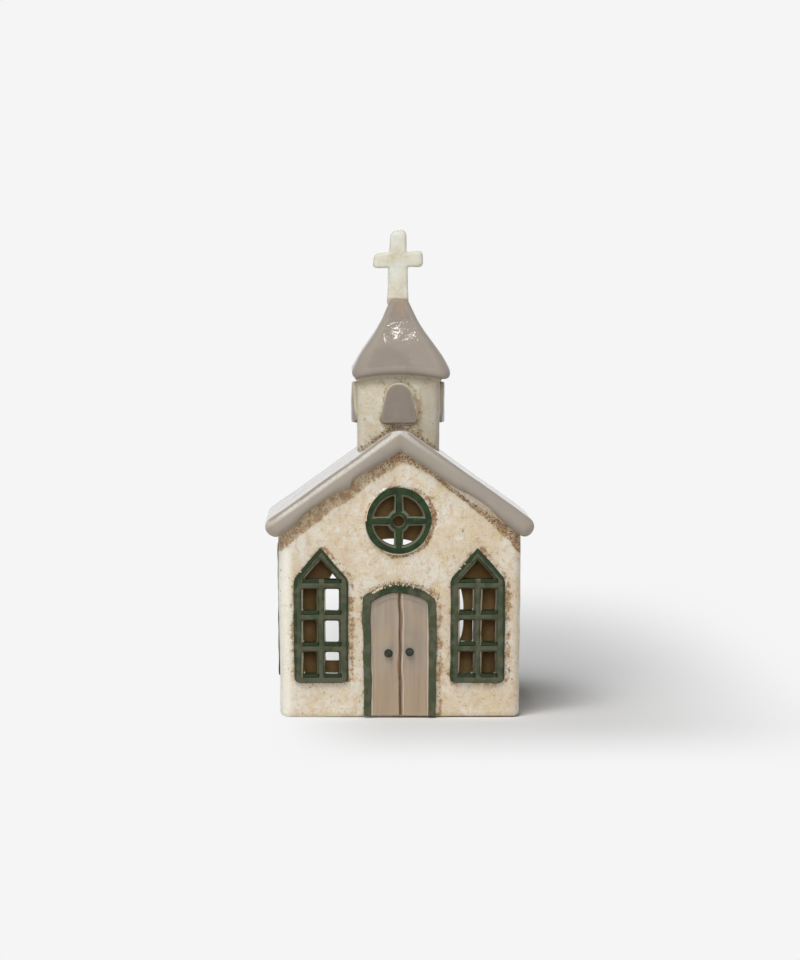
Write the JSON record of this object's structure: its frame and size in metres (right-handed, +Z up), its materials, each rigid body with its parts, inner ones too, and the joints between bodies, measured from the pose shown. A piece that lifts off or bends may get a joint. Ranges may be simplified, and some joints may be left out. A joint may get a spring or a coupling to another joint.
{
  "type": "ceramic village house",
  "caption": "Hollow glazed ceramic church with a belfry, pierced windows and an arched back opening, which glows round a tealight.",
  "frame": {"origin": "middle of the foot, on the surface that it stands on", "axes": "+Z up to the cross, -Y out of the door, +X to the right of someone who looks at the door"},
  "size_m": [0.12, 0.096, 0.2176],
  "materials": {
    "cream_glaze": "crackled cream glaze with rust-brown speckle, glossy",
    "taupe_glaze": "thick glossy taupe-grey glaze",
    "green_glaze": "glossy dark green glaze, thin and brown at the edges",
    "door_glaze": "satin taupe glaze with upright brush streaks",
    "bare_clay": "bare brown stoneware, dull"
  },
  "bodies": {
    "root": {"floor_slab": "bare_clay", "front_wall": "cream_glaze", "back_wall": "cream_glaze", "left_wall": "cream_glaze", "right_wall": "cream_glaze", "roof_left": "taupe_glaze", "roof_right": "taupe_glaze", "belfry_tower": "cream_glaze", "belfry_cornice": "cream_glaze", "spire": "taupe_glaze", "cross": "cream_glaze", "bell_front": "taupe_glaze", "bell_back": "taupe_glaze", "bell_left": "taupe_glaze", "bell_right": "taupe_glaze", "rose_window": "green_glaze", "window_front_left": "green_glaze", "window_front_right": "green_glaze", "window_left_side": "green_glaze", "window_right_side": "green_glaze", "door_surround": "green_glaze", "door_leaf_left": "door_glaze", "door_leaf_right": "door_glaze", "door_knob_left": "green_glaze", "door_knob_right": "green_glaze"}
  },
  "joints": []
}
